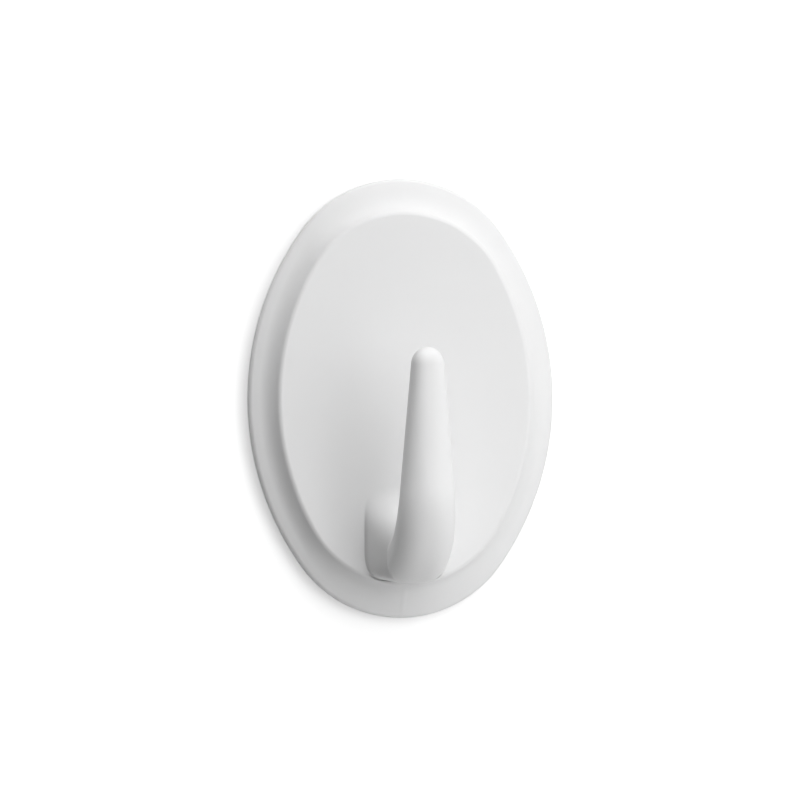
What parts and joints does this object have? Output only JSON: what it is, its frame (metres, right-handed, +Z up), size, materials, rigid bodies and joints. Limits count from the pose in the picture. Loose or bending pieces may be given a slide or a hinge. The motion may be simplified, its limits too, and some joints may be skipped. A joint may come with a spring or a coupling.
{
  "type": "adhesive wall hook",
  "caption": "Oval adhesive wall hook: a moulded cover with a rising hook arm slides onto a base plate that a stretch-release foam strip holds on the wall.",
  "frame": {"origin": "on the wall plane, at the middle of the oval, on the face of the wall adhesive", "axes": "+Z up the wall, +Y into the wall, so the hook faces -Y, and +X to the viewer's right"},
  "size_m": [0.0424, 0.023, 0.06],
  "materials": {
    "cover_plastic": "satin",
    "plate_plastic": "matte",
    "adhesive": "tacky",
    "carrier_film": "gloss",
    "foam": "matte",
    "tab_film": "gloss"
  },
  "bodies": {
    "base": {"base_plate": "plate_plastic", "plate_adhesive": "adhesive", "plate_film": "carrier_film", "foam_core": "foam", "wall_film": "carrier_film", "wall_adhesive": "adhesive"},
    "cover": {"hook_cover": "cover_plastic"},
    "pull_tab": {"tab_front_film": "tab_film", "tab_back_film": "tab_film"}
  },
  "joints": [
    {"name": "cover_slide", "type": "slide", "parent": "base", "child": "cover", "axis": [0, 0, 1], "range_m": [0, 0.0083]},
    {"name": "tab_pull", "type": "slide", "parent": "base", "child": "pull_tab", "axis": [0, 0, -1], "range_m": [0, 0.1], "stiffness_N_per_m": 150, "deforming": ["plate_adhesive", "plate_film", "foam_core", "wall_film", "wall_adhesive"]}
  ]
}
